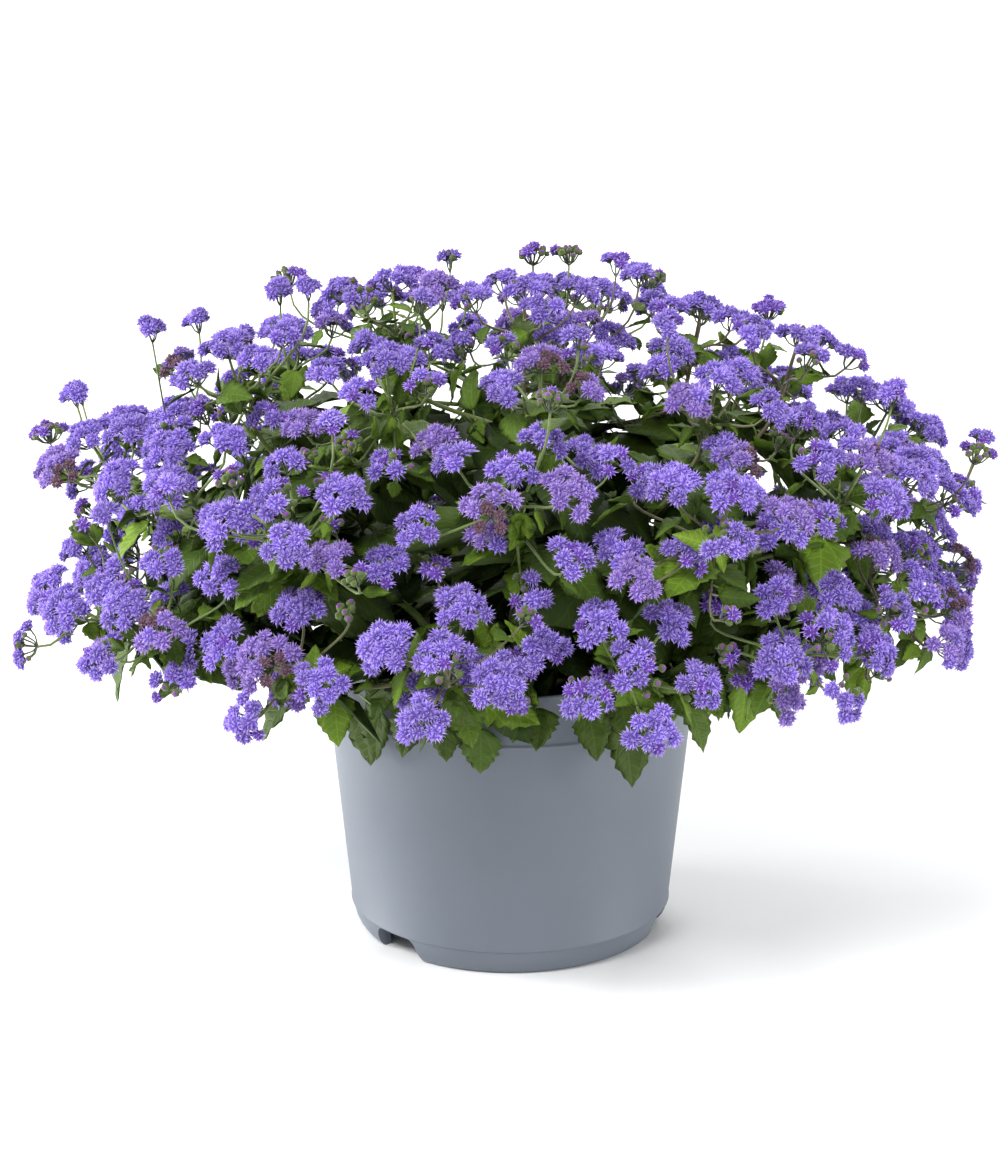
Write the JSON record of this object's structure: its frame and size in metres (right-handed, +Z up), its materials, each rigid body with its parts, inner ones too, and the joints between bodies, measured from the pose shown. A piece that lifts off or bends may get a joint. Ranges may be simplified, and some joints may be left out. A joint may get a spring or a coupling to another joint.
{
  "type": "potted ageratum",
  "caption": "Potted ageratum: a low mound of fluffy blue-violet flower clusters over toothed leaves, in a round tapered nursery pot with a rim band and a notched foot.",
  "frame": {"origin": "the middle of the whole part's bounding box in plan, on the surface that the pot stands on", "axes": "+Z up out of the pot; -Y towards the plant's front; +X to the right as seen from the front, along the mound's longest width"},
  "size_m": [0.5864, 0.5228, 0.411],
  "materials": {
    "pot_plastic": "satin",
    "potting_compost": "matte",
    "foliage": "matte",
    "bloom": "matte"
  },
  "bodies": {
    "root": {"pot": "pot_plastic", "compost": "potting_compost", "leafy_shoot_01": "foliage", "leafy_shoot_02": "foliage", "leafy_shoot_03": "foliage", "leafy_shoot_04": "foliage", "leafy_shoot_05": "foliage", "leafy_shoot_06": "foliage", "leafy_shoot_07": "foliage", "leafy_shoot_08": "foliage", "leafy_shoot_09": "foliage", "leafy_shoot_10": "foliage", "leafy_shoot_11": "foliage", "leafy_shoot_12": "foliage", "leafy_shoot_13": "foliage", "leafy_shoot_14": "foliage", "leafy_shoot_15": "foliage", "leafy_shoot_16": "foliage", "bloom_spray_01": "bloom", "bloom_spray_02": "bloom", "bloom_spray_03": "bloom", "bloom_spray_04": "bloom", "bloom_spray_05": "bloom", "bloom_spray_06": "bloom", "bloom_spray_07": "bloom", "bloom_spray_08": "bloom", "bloom_spray_09": "bloom", "bloom_spray_10": "bloom", "bloom_spray_11": "bloom", "bloom_spray_12": "bloom", "bloom_spray_13": "bloom", "bloom_spray_14": "bloom", "bloom_spray_15": "bloom", "bloom_spray_16": "bloom", "bloom_spray_17": "bloom", "bloom_spray_18": "bloom", "bloom_spray_19": "bloom", "bloom_spray_20": "bloom", "bloom_spray_21": "bloom", "bloom_spray_22": "bloom", "bloom_spray_23": "bloom", "bloom_spray_24": "bloom", "bloom_spray_25": "bloom", "bloom_spray_26": "bloom", "bloom_spray_27": "bloom", "bloom_spray_28": "bloom", "bloom_spray_29": "bloom", "bloom_spray_30": "bloom", "bloom_spray_31": "bloom", "bloom_spray_32": "bloom", "bloom_spray_33": "bloom", "bloom_spray_34": "bloom", "bloom_spray_35": "bloom", "bloom_spray_36": "bloom", "bloom_spray_37": "bloom", "bloom_spray_38": "bloom", "bloom_spray_39": "bloom", "bloom_spray_40": "bloom", "bloom_spray_41": "bloom"}
  },
  "joints": []
}
